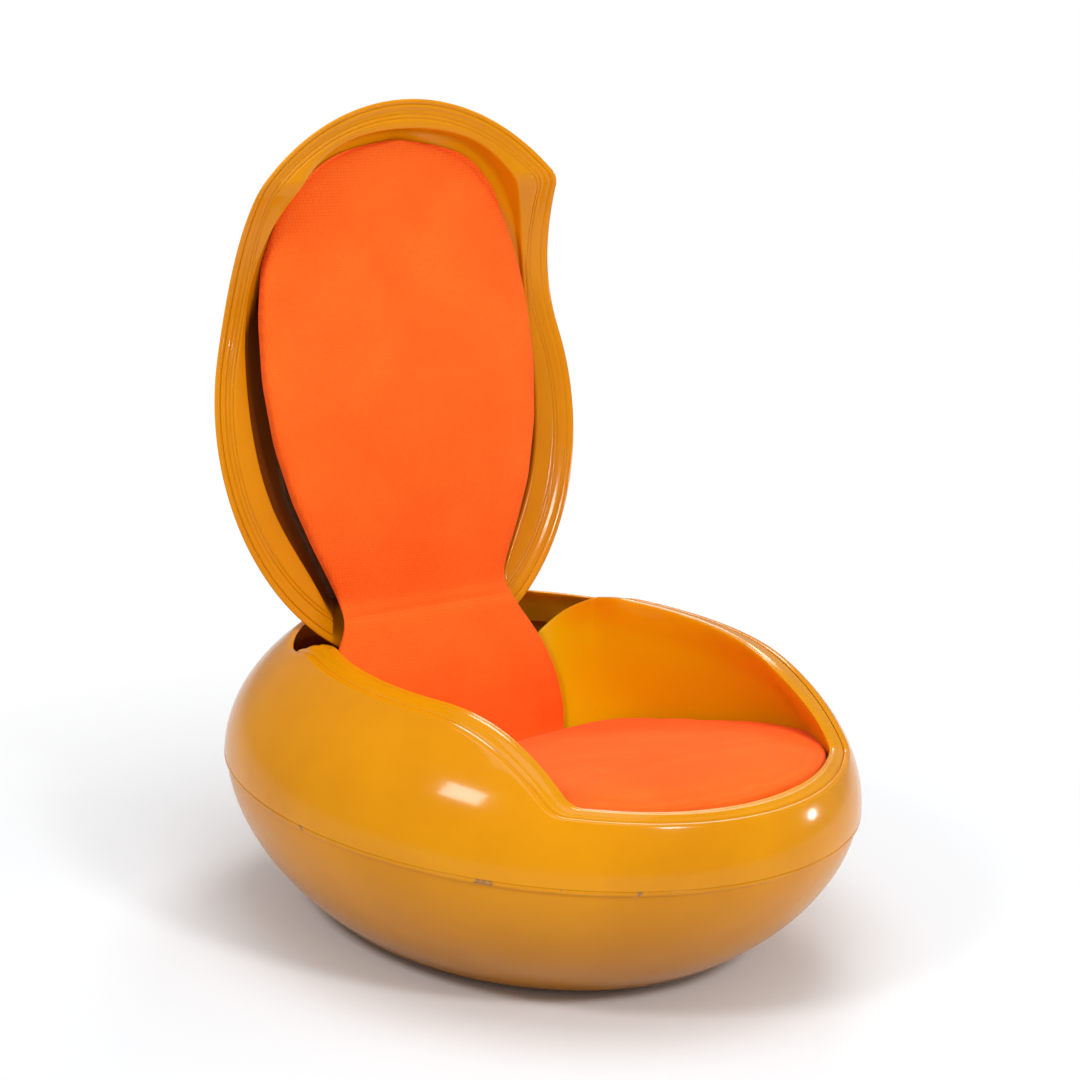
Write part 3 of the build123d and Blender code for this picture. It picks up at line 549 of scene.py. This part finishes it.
def cloth(name, light, dark):
    """Woven cloth: noise mixes the dark and the light colour, and two crossed fine waves with a
    little lint, added up, shade it and raise it as the weave."""
    mat = bpy.data.materials.new(name)
    mat.use_nodes = True
    nodes, links = mat.node_tree.nodes, mat.node_tree.links
    shader = nodes["Principled BSDF"]
    shader.inputs["Roughness"].default_value = 0.92
    shader.inputs["Sheen Weight"].default_value = 0.03
    shader.inputs["Sheen Roughness"].default_value = 0.5
    shader.inputs["Specular IOR Level"].default_value = 0.08
    tc = nodes.new("ShaderNodeTexCoord")
    cloud = nodes.new("ShaderNodeTexNoise")
    cloud.inputs["Scale"].default_value = 9.0
    cloud.inputs["Detail"].default_value = 5.0
    links.new(tc.outputs["Object"], cloud.inputs["Vector"])
    heights = []
    for turn_by, scale in ((0.0, 520.0), (math.radians(90.0), 460.0)):
        spin = nodes.new("ShaderNodeMapping")
        spin.inputs["Rotation"].default_value = (turn_by, 0.0, math.radians(8.0))
        wave = nodes.new("ShaderNodeTexWave")
        wave.bands_direction = "Z" if turn_by == 0.0 else "X"
        wave.inputs["Scale"].default_value = scale / 6.2832
        wave.inputs["Distortion"].default_value = 0.6
        wave.inputs["Detail"].default_value = 1.0
        links.new(tc.outputs["Object"], spin.inputs["Vector"])
        links.new(spin.outputs["Vector"], wave.inputs["Vector"])
        heights.append(wave.outputs["Fac"])
    weave = nodes.new("ShaderNodeMath")
    weave.operation = "ADD"
    links.new(heights[0], weave.inputs[0])
    links.new(heights[1], weave.inputs[1])
    fuzz = nodes.new("ShaderNodeTexNoise")
    fuzz.inputs["Scale"].default_value = 260.0
    fuzz.inputs["Detail"].default_value = 3.0
    links.new(tc.outputs["Object"], fuzz.inputs["Vector"])
    total = nodes.new("ShaderNodeMath")
    total.operation = "MULTIPLY_ADD"
    total.inputs[1].default_value = 0.35
    links.new(weave.outputs["Value"], total.inputs[0])
    links.new(fuzz.outputs["Fac"], total.inputs[2])
    ramp = nodes.new("ShaderNodeValToRGB")
    ramp.color_ramp.elements[0].position = 0.30
    ramp.color_ramp.elements[0].color = (*dark, 1.0)
    ramp.color_ramp.elements[1].position = 0.70
    ramp.color_ramp.elements[1].color = (*light, 1.0)
    links.new(cloud.outputs["Fac"], ramp.inputs["Fac"])
    thread = nodes.new("ShaderNodeMix")
    thread.data_type = "RGBA"
    thread.blend_type = "MULTIPLY"
    thread.inputs["Factor"].default_value = 0.35
    shade = nodes.new("ShaderNodeMapRange")
    shade.inputs["From Min"].default_value = 0.3
    shade.inputs["From Max"].default_value = 1.1
    shade.inputs["To Min"].default_value = 0.62
    shade.inputs["To Max"].default_value = 1.22
    links.new(total.outputs["Value"], shade.inputs["Value"])
    links.new(ramp.outputs["Color"], thread.inputs["A"])
    links.new(shade.outputs["Result"], thread.inputs["B"])
    links.new(thread.outputs["Result"], shader.inputs["Base Color"])
    bump = nodes.new("ShaderNodeBump")
    bump.inputs["Strength"].default_value = 0.35
    bump.inputs["Distance"].default_value = 0.0008
    links.new(total.outputs["Value"], bump.inputs["Height"])
    links.new(bump.outputs["Normal"], shader.inputs["Normal"])
    return mat


fabric = cloth("orange_cloth", (1.0, 0.152, 0.017), (0.95, 0.122, 0.012))


def puff(obj, voxel, cap):
    """Cloth simulation of a closed skin filled with air, remeshed evenly first. Each point keeps
    its direction, and its way is cap times the hyperbolic tangent of its share of cap."""
    remesh = obj.modifiers.new("remesh", "REMESH")
    remesh.mode = "VOXEL"
    remesh.voxel_size = voxel
    with bpy.context.temp_override(object=obj, active_object=obj):
        bpy.ops.object.modifier_apply(modifier=remesh.name)
    count = len(obj.data.vertices)
    before, after = np.zeros(count * 3), np.zeros(count * 3)
    obj.data.vertices.foreach_get("co", before)
    press = obj.modifiers.new("cloth", "CLOTH")
    press.settings.use_pressure = True
    press.settings.uniform_pressure_force = 4.0
    press.settings.effector_weights.gravity = 0.0
    press.point_cache.frame_start = 1
    press.point_cache.frame_end = 20
    for frame_number in range(1, press.point_cache.frame_end + 1):
        scene.frame_set(frame_number)
    filled = obj.evaluated_get(bpy.context.evaluated_depsgraph_get())
    filled.data.vertices.foreach_get("co", after)
    obj.modifiers.remove(press)
    scene.frame_set(1)
    move = (after - before).reshape(-1, 3)
    far = np.linalg.norm(move, axis=1, keepdims=True)
    move = move * (cap * np.tanh(far / cap) / np.maximum(far, 1e-9))
    obj.data.vertices.foreach_set("co", (before.reshape(-1, 3) + move).ravel())
    finer = obj.modifiers.new("finer", "SUBSURF")
    finer.levels = 1
    finer.render_levels = 1
    with bpy.context.temp_override(object=obj, active_object=obj):
        bpy.ops.object.modifier_apply(modifier=finer.name)
    obj.data.polygons.foreach_set("use_smooth", [True] * len(obj.data.polygons))


around = np.linspace(-np.pi, np.pi, 361)[:-1]


def seat_top(x, y):
    """Height of the cushion's top: a polynomial in Y for its sides, which fall to the rear, plus
    a parabola across, which crowns it at the front and dishes it at the rear."""
    ys = np.array([-0.40, -0.36, -0.30, -0.209, -0.106, -0.006, 0.074, 0.117, 0.152, 0.170, 0.20])
    side = np.array([0.271, 0.2725, 0.2725, 0.2655, 0.2430, 0.2180, 0.1985, 0.1870, 0.1750, 0.1665, 0.152])
    crown = np.array([0.001, 0.002, 0.004, 0.006, 0.004, 0.000, -0.005, -0.009, -0.012, -0.014, -0.016])
    height = np.polynomial.Polynomial.fit(ys, side, 5)(y)
    return height - CUSHION_DOWN + np.interp(y, ys, crown) * (1.0 - np.minimum(np.abs(x) / 0.27, 1.0) ** 2)


def cushion_edge(z):
    """Outline radius of the cushion in each direction at height z: the smaller of the tub's wall
    and a straight line at the back, blended in the corners by logarithm and exponentials."""
    r = seat_radius(around, z) - CUSHION_GAP
    back_r = (CUSHION_BACK - CENTRE_Y) / np.maximum(np.sin(around), 0.2)
    back_r = np.where(np.sin(around) > 0.2, back_r, 9.0)
    return -CORNER_SOFT * np.log(np.exp(-r / CORNER_SOFT) + np.exp(-back_r / CORNER_SOFT))


rows = []
shares = np.concatenate([np.linspace(0.0, 0.94, 30), np.linspace(0.95, 0.985, 5)])
for share in shares:
    zz = np.full_like(around, 0.24)
    # the outline depends on the height and the height on the outline, so they take turns
    for _ in range(4):
        r = (cushion_edge(zz) - CUSHION_EDGE) * share / shares[-1]
        zz = seat_top(r * np.cos(around), CENTRE_Y + r * np.sin(around))
    rows.append(polar(around, r, zz))
last, last_r = rows[-1], r
for a in np.radians(np.linspace(12.0, 90.0, 8)):
    z = last[:, 2] - CUSHION_EDGE * (1.0 - math.cos(a))
    rows.append(polar(around, last_r + CUSHION_EDGE * math.sin(a), z))
skirt = rows[-1]
for k, draw in ((0.010, 1.0), (0.025, 0.999), (0.045, 0.994), (0.056, 0.985), (0.063, 0.96)):
    low = skirt.copy()
    low[:, 2] = skirt[:, 2] - k
    low[:, 0] = skirt[:, 0] * draw
    low[:, 1] = (skirt[:, 1] - CENTRE_Y) * draw + CENTRE_Y
    rows.append(low)
centre = np.repeat(rows[-1].mean(axis=0)[None, :], len(around), axis=0)
rows.append(rows[-1] * 0.5 + centre * 0.5)
rows.append(centre)
cushion = grid_mesh("seat_cushion_cover", [(np.stack(rows), True)], fabric)
puff(cushion, 0.0062, 0.005)
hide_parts("seat_cushion")
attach(cushion, "base")

# ---- lid skin ----------------------------------------------------------------------
# The hood, the upper part of the same egg-shaped body in the same lacquer, with a rounded edge.
# It is drawn shut and swung open about the hinge axis, to the place it has in the photograph.
HINGE_Y, HINGE_Z, OPEN = 0.2495, 0.3358, math.radians(103.9)


def opened(pts):
    """Points of the shut lid in the open pose: turned about the hinge axis by the opening angle."""
    y, z = pts[..., 1] - HINGE_Y, pts[..., 2] - HINGE_Z
    c, s = math.cos(OPEN), math.sin(OPEN)
    return np.stack([pts[..., 0], HINGE_Y + y * c + z * s, HINGE_Z - y * s + z * c], axis=-1)


lid_mat = lacquer("lid_lacquer", (0.74, 0.278, 0.001), (0.655, 0.232, 0.001), 0.17, 0.05, wear=0.2)
rows = []
for inset, lift in ((0.0050, 0.030), (0.0050, 0.0050), (0.0050, -0.0010), (0.0046, -0.0020),
                    (0.0038, -0.0026), (0.0022, -0.0027), (0.0010, -0.0022), (0.0003, -0.0012),
                    (0.0000, 0.0002)):
    rows.append(rim_ring(phi, inset, lift, dipped=False))
edge_z = rows[-1][:, 2]
for t in np.append(np.sin(np.radians(np.linspace(3.0, 89.7, 46))), 1.0):
    rows.append(dome_row(edge_z + (TOP - edge_z) * t))
hood = grid_mesh("lid_hood", [(opened(np.stack(rows)), True)], lid_mat)
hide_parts("lid_shell")
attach(hood, "lid")

# ---- lid liner ---------------------------------------------------------------------
# Inner moulding of the hood, lacquered plastic fixed inside its edge: a stepped outer band with
# fine grooves, a flat flange, and a deep recess with rounded edges that carries the back pad.
# the inner colour is a dark brown, painted shade on the recess's tray and the top of its wall
liner_mat = lacquer("liner_lacquer", (0.73, 0.272, 0.001), (0.645, 0.226, 0.001), 0.17, 0.05, wear=0.15,
                    inside=(0.17, 0.045, 0.006))
# right half of the recess's outline in mm, from the shut lid's front to the hinge side
RECESS = [(0, -371), (70, -365), (131, -344), (193, -284), (226, -190), (240, -50), (231, 50),
          (212, 112), (186, 160), (163, 200), (147, 232), (133, 270), (124, 308)]
FLANGE_LIFT, GROOVED, RECESS_EDGE = 0.0023, 0.0112, 0.004
TRAY_Z, LINER_INSET = 0.365, 0.011


def dome_roof(x, y, inset):
    """Height of the dome drawn in by inset above each point: the dome's share solved for Z."""
    out = ((x / (HALF_W - inset)) ** 2 + (y / (HALF_D - inset)) ** 2) ** (DOME_POWER / 2)
    return SEAM + (TOP - inset - SEAM) * np.clip(1.0 - out, 0.0, 1.0) ** (1.0 / DOME_POWER)


def rear_seam(direction):
    """Directions from minus 270 to 90 degrees, so that the seam lies at the rear."""
    return np.where(direction > math.pi / 2 + 0.01, direction - 2 * np.pi, direction)


# the recess's outline, smoothed, gives its radius in every direction of the outer band
span = np.linspace(math.radians(-262.0), math.radians(82.0), 1000)
outer = rim_ring(span, 0.0095, 0.0023, dipped=False)
outer_r = np.hypot(outer[:, 0], outer[:, 1] - CENTRE_Y)
pts = np.array(RECESS) / 1000.0
pts = np.concatenate([(pts[1:] * (-1, 1))[::-1], pts])
dense = np.linspace(0, len(pts) - 1, 2000)
rx = soften(np.interp(dense, np.arange(len(pts)), pts[:, 0]), 90, 36.0, "reflect")
ry = soften(np.interp(dense, np.arange(len(pts)), pts[:, 1]) - CENTRE_Y, 90, 36.0, "reflect")
rec_angle = rear_seam(np.unwrap(np.arctan2(ry, rx)))
order = np.argsort(rec_angle)
angle = rear_seam(np.arctan2(outer[:, 1] - CENTRE_Y, outer[:, 0]))
target = np.interp(angle, rec_angle[order], np.hypot(rx, ry)[order])
keep = (angle > rec_angle.min()) & (angle < rec_angle.max()) & (target < outer_r - 0.002)
span, angle, target = span[keep], angle[keep], target[keep]
rows = []
for inset, lift in ((0.0051, 0.0100), (0.0052, 0.0000), (0.0056, -0.0006), (0.0064, -0.0007),
                    (0.0080, -0.0007), (0.0088, -0.0004), (0.0092, 0.0008), (0.0095, 0.0020),
                    (0.0100, 0.0023)):
    rows.append(rim_ring(span, inset, lift, dipped=False))
start_r = np.hypot(rows[-1][:, 0], rows[-1][:, 1] - CENTRE_Y)
flange_w = start_r - target


def flange_point(share, lift):
    """Row of the flange at a share of the way from its outer band to the recess edge, on the rim
    line raised by lift."""
    r = start_r - flange_w * share
    return polar(angle, r, rim_height(CENTRE_Y + r * np.sin(angle), dipped=False) + lift)


# two grooves, then the plain flange
for dist, lift in ((0.0010, 0.0023), (0.0030, 0.0023), (0.0036, 0.0027), (0.0042, 0.0036),
                   (0.0048, 0.0036), (0.0054, 0.0027), (0.0060, 0.0023), (0.0082, 0.0023),
                   (0.0088, 0.0027), (0.0094, 0.0036), (0.0100, 0.0036), (0.0106, 0.0027),
                   (0.0112, 0.0023)):
    rows.append(flange_point(np.minimum(dist / flange_w, 0.9), lift))
begin = np.minimum(GROOVED / flange_w, 0.9)
for share in np.linspace(0.0, 1.0, 9)[1:]:
    rows.append(flange_point(begin + (1.0 - begin) * share, FLANGE_LIFT + 0.0015 * share ** 2))
# rounded edge, recess wall and tray
edge_z = rows[-1][:, 2]
for a in np.radians(np.linspace(15, 90, 6)):
    rows.append(polar(angle, target - RECESS_EDGE * math.sin(a), edge_z + RECESS_EDGE * (1 - math.cos(a))))
wall = rows[-1]
ceiling = np.minimum(TRAY_Z, dome_roof(wall[:, 0], wall[:, 1], LINER_INSET))
for t in np.linspace(0.08, 0.94, 12):
    rows.append(polar(angle, target - RECESS_EDGE, wall[:, 2] + (ceiling - wall[:, 2]) * t))
for shrink in (0.992, 0.97, 0.94, 0.90, 0.84, 0.76, 0.66, 0.52, 0.36, 0.20, 0.05, 0.0):
    r = (target - RECESS_EDGE) * shrink
    roof = dome_roof(r * np.cos(angle), CENTRE_Y + r * np.sin(angle), LINER_INSET)
    rows.append(polar(angle, r, np.minimum(TRAY_Z, roof)))


def tray_painted_shade(p):
    """Share of the tray's dark brown, painted shade in the recess: it grows over 6 mm of the recess's
    depth, measured up from 354 mm in the shut lid's place."""
    shut_z = (p[:, 1] - HINGE_Y) * math.sin(OPEN) + (p[:, 2] - HINGE_Z) * math.cos(OPEN) + HINGE_Z
    return (shut_z - 0.354) / 0.006


# the rows run inwards, so they are turned round to face out of the recess
liner = grid_mesh("lid_liner_moulding", [(opened(np.stack(rows[::-1])), False)], liner_mat, tray_painted_shade)
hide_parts("lid_liner")
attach(liner, "lid")

# ---- back upholstery ---------------------------------------------------------------
# One continuous padded back in the cushion's cover: the lumbar part stands on the seat, the tall part
# lies in the open lid, and the cloth bends in the crease at the hinge.
BELLY, PROUD, BEND_RADIUS, LEAN_BACK = 0.012, 0.0115, 0.800, math.radians(21.0)
TIP = 0.05
BACK_INSET = 0.0128
path, width, thick = [], [], []
for z, w, t in ((0.158, 0.186, 0.010), (0.163, 0.188, 0.014), (0.172, 0.190, 0.0175),
                (0.200, 0.191, 0.0178), (0.236, 0.186, 0.0178), (0.272, 0.175, 0.0176),
                (0.298, 0.163, 0.0165), (0.316, 0.151, 0.0130), (0.328, 0.142, 0.0090)):
    belly = BELLY * math.sin(math.pi * min(1.0, max(0.0, (z - 0.165) / 0.170)))
    path.append((0.165 + (z - 0.163) * math.tan(LEAN_BACK) - belly, z))
    width.append(w)
    thick.append(t + belly)
path.append((0.2360, 0.3405))
width.append(0.1375)
thick.append(0.0060)
crease_at = len(path) - 1
for y, w, t in ((0.234, 0.1345, 0.0090), (0.226, 0.1345, 0.0160), (0.214, 0.1375, 0.0240),
                (0.195, 0.146, 0.0280), (0.160, 0.163, 0.0320), (0.100, 0.188, 0.0370),
                (0.020, 0.209, 0.0380), (-0.060, 0.217, 0.0380), (-0.140, 0.2135, 0.0385),
                (-0.200, 0.2025, 0.0385), (-0.250, 0.1855, 0.0385), (-0.285, 0.1640, 0.0380),
                (-0.312, 0.1370, 0.0350), (-0.331, 0.1090, 0.0300), (-0.343, 0.0800, 0.0230),
                (-0.350, 0.0480, 0.0140), (-0.3535, 0.006, 0.003)):
    bend = max(0.0, -0.190 - y)
    proud = PROUD * min(1.0, max(0.0, (0.225 - y) / 0.11))
    face = 0.328 - proud - (BEND_RADIUS - math.sqrt(BEND_RADIUS ** 2 - bend * bend))
    p = opened(np.array([0.0, y, face]))
    path.append((p[1], p[2]))
    width.append(w)
    thick.append(t)
path, width, thick = np.array(path), np.array(width), np.array(thick)
length = np.concatenate([[0.0], np.cumsum(np.hypot(*np.diff(path, axis=0).T))])
tip = length[-1] - TIP * np.cos(np.radians(np.linspace(2, 90, 26)))
along = np.concatenate([np.linspace(0, length[-1] - TIP, 330), tip])


def smooth(values, reach):
    """Values along the path, each a bell-weighted mean over a short reach; the ends stay."""
    fine = np.linspace(0, length[-1], 1400)
    values = soften(np.interp(fine, length, values), 60, reach / fine[1], "reflect")
    return np.interp(along, fine, values)


py, pz = smooth(path[:, 0], 0.005), smooth(path[:, 1], 0.005)
half_w, depth = smooth(width, 0.010), smooth(thick, 0.006)
half_w[-1], depth[-1] = 0.002, 0.001
ty, tz = np.gradient(py), np.gradient(pz)
norm = np.hypot(ty, tz)
ny, nz = -tz / norm, ty / norm
crease_s = length[crease_at]
# cross-section: a rounded box with a crowned face, pinched at the crease; its sides draw in a
# little between face and back
ring = np.linspace(0, 2 * np.pi, 181)[:-1]
ca, sa = np.cos(ring), np.sin(ring)
cross_x = np.sign(ca) * np.abs(ca) ** 0.30
cross_n = np.sign(sa) * np.abs(sa) ** 0.55
crowned = 0.0035 * (1.0 - np.abs(cross_x) ** 3) * np.clip(sa, 0, 1) ** 0.5
pinch = 0.0030 * np.exp(-((along - crease_s) / 0.006) ** 2)[:, None] * np.clip(sa, 0, 1)
out = (cross_n - 1.0) * 0.5 * depth[:, None] + crowned - pinch
x = cross_x * (half_w[:, None] - 0.004 * np.clip(-sa, 0, 1))
grid = np.stack([x, py[:, None] + ny[:, None] * out, pz[:, None] + nz[:, None] * out], axis=-1)
# the back of the tall part stays inside the lid's liner: in the shut lid's place, no point lies
# above the dome drawn in by its wall and the liner's
ry, rz = grid[..., 1] - HINGE_Y, grid[..., 2] - HINGE_Z
shut_y = HINGE_Y + ry * math.cos(OPEN) - rz * math.sin(OPEN)
shut_z = HINGE_Z + ry * math.sin(OPEN) + rz * math.cos(OPEN)
roof = dome_roof(grid[..., 0], shut_y, BACK_INSET)
kept_in = opened(np.stack([grid[..., 0], shut_y, np.minimum(shut_z, roof)], axis=-1))
grid = np.where((along > crease_s + 0.004)[:, None, None], kept_in, grid)
# both ends are closed at their middle, and the ring is turned round to face outwards
ends = [np.repeat(grid[k].mean(axis=0)[None, None], len(ring), axis=1) for k in (0, -1)]
grid = np.concatenate([ends[0], grid, ends[1]])[:, ::-1]
upholstery = grid_mesh("back_upholstery", [(grid, True)], fabric)
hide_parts("lumbar_pad", "back_pad")
BLEND_REACH = 0.012
a, b = (int(np.argmin(np.abs(along - (crease_s + side)))) for side in (-BLEND_REACH, BLEND_REACH))
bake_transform(upholstery)

# ---- boards, hinges, screws and buffers ----------------------------------------------
# The hidden structure keeps its solids: plywood boards in a dark brown that is painted shade for the
# gap beside the back pad, satin steel hinges and screws, and dark rubber buffers for the resting lid.


def simple(name, light, dark, rough, metal, scale, stretch, bump_strength):
    """Noise mixes the dark and the light colour and raises the surface a little; stretch
    lengthens it along X like wood grain."""
    mat = bpy.data.materials.new(name)
    mat.use_nodes = True
    nodes, links = mat.node_tree.nodes, mat.node_tree.links
    shader = nodes["Principled BSDF"]
    shader.inputs["Metallic"].default_value = metal
    shader.inputs["Roughness"].default_value = rough
    tc = nodes.new("ShaderNodeTexCoord")
    mapping = nodes.new("ShaderNodeMapping")
    mapping.inputs["Scale"].default_value = (1.0 / stretch, 1.0, 1.0)
    links.new(tc.outputs["Object"], mapping.inputs["Vector"])
    noise = nodes.new("ShaderNodeTexNoise")
    noise.inputs["Scale"].default_value = scale
    noise.inputs["Detail"].default_value = 5.0
    links.new(mapping.outputs["Vector"], noise.inputs["Vector"])
    ramp = nodes.new("ShaderNodeValToRGB")
    ramp.color_ramp.elements[0].position = 0.35
    ramp.color_ramp.elements[0].color = (*dark, 1.0)
    ramp.color_ramp.elements[1].position = 0.65
    ramp.color_ramp.elements[1].color = (*light, 1.0)
    links.new(noise.outputs["Fac"], ramp.inputs["Fac"])
    links.new(ramp.outputs["Color"], shader.inputs["Base Color"])
    bump = nodes.new("ShaderNodeBump")
    bump.inputs["Strength"].default_value = bump_strength
    bump.inputs["Distance"].default_value = 0.0005
    links.new(noise.outputs["Fac"], bump.inputs["Height"])
    links.new(bump.outputs["Normal"], shader.inputs["Normal"])
    return mat


# the boards' dark brown is painted shade: an edge that shows beside the back pad reads as the shadowed gap
plywood = simple("plywood", (0.13, 0.060, 0.026), (0.085, 0.036, 0.015), 0.55, 0.0, 60.0, 9.0, 0.3)
steel = simple("steel", (0.62, 0.62, 0.60), (0.46, 0.46, 0.45), 0.34, 1.0, 220.0, 1.0, 0.05)
rubber = simple("rubber", (0.035, 0.033, 0.030), (0.020, 0.019, 0.018), 0.75, 0.0, 300.0, 1.0, 0.2)
for name, node in cad_nodes.items():
    if not node.hide_render:
        finish = plywood if name.endswith("_board") else rubber if name.endswith("buffers") else steel
        node.data.materials.clear()
        node.data.materials.append(finish)
